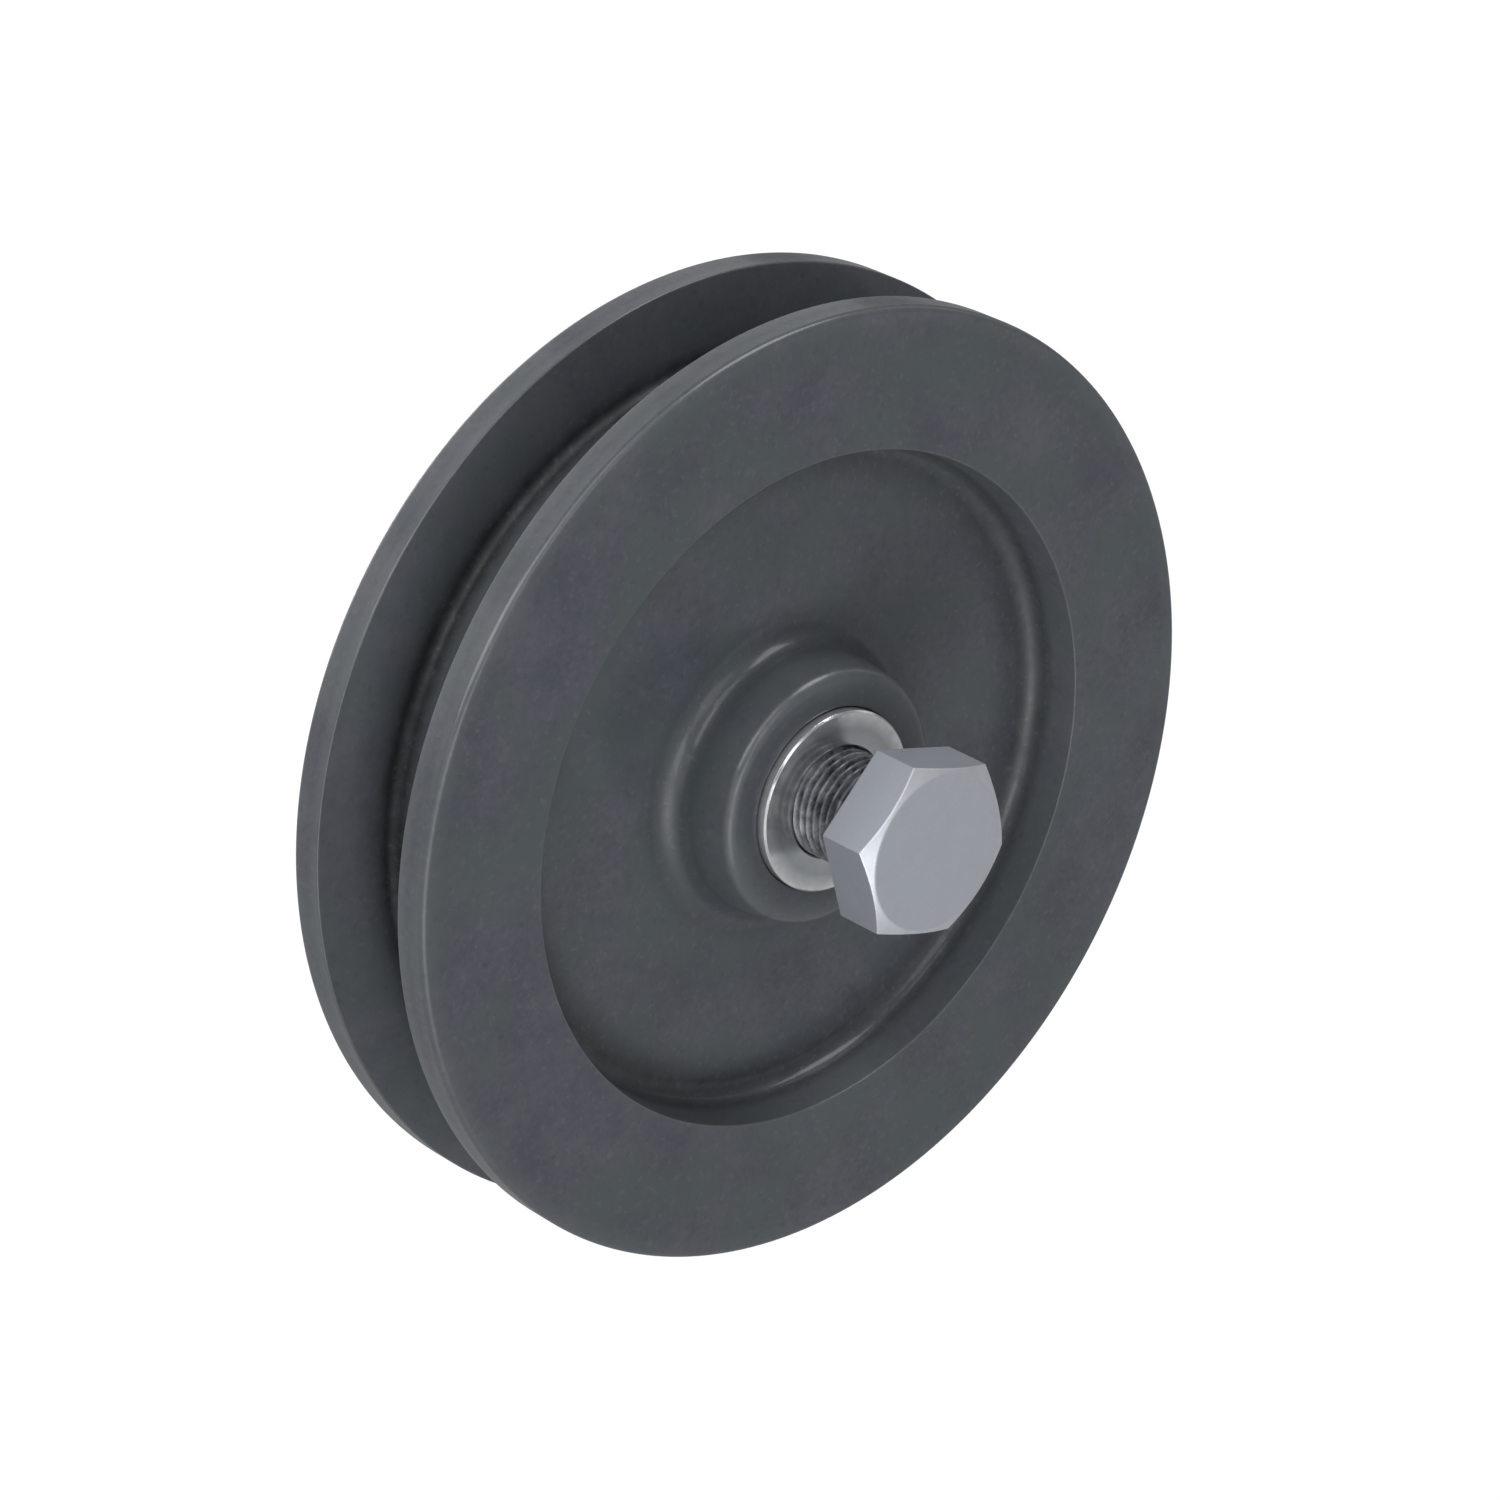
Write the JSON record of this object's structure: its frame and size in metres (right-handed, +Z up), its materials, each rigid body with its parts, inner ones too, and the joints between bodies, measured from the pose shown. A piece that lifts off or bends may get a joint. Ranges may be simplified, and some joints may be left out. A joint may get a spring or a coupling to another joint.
{
  "type": "grooved gate wheel",
  "caption": "Cast iron wheel with a square rail groove and a dished web, turning on a steel bush that a hex bolt and nut clamp between fork cheeks to carry a sliding gate.",
  "frame": {"origin": "centre of the wheel, on the axle at the rim's middle plane", "axes": "Y along the axle with the bolt head towards -Y and the nut towards +Y, X along the rail, Z up"},
  "size_m": [0.105, 0.0665, 0.105],
  "materials": {
    "iron": "turned and plain cast, dark blue grey and matt",
    "bush_steel": "finely turned and bright",
    "bolt_steel": "bright zinc plate"
  },
  "bodies": {
    "axle": {"bush": "bush_steel", "bolt": "bolt_steel", "nut": "bolt_steel"},
    "wheel": {"wheel": "iron"}
  },
  "joints": [
    {"name": "wheel_spin", "type": "hinge", "parent": "axle", "child": "wheel", "pos_m": [0, 0, 0], "axis": [0, 1, 0], "continuous": true}
  ]
}
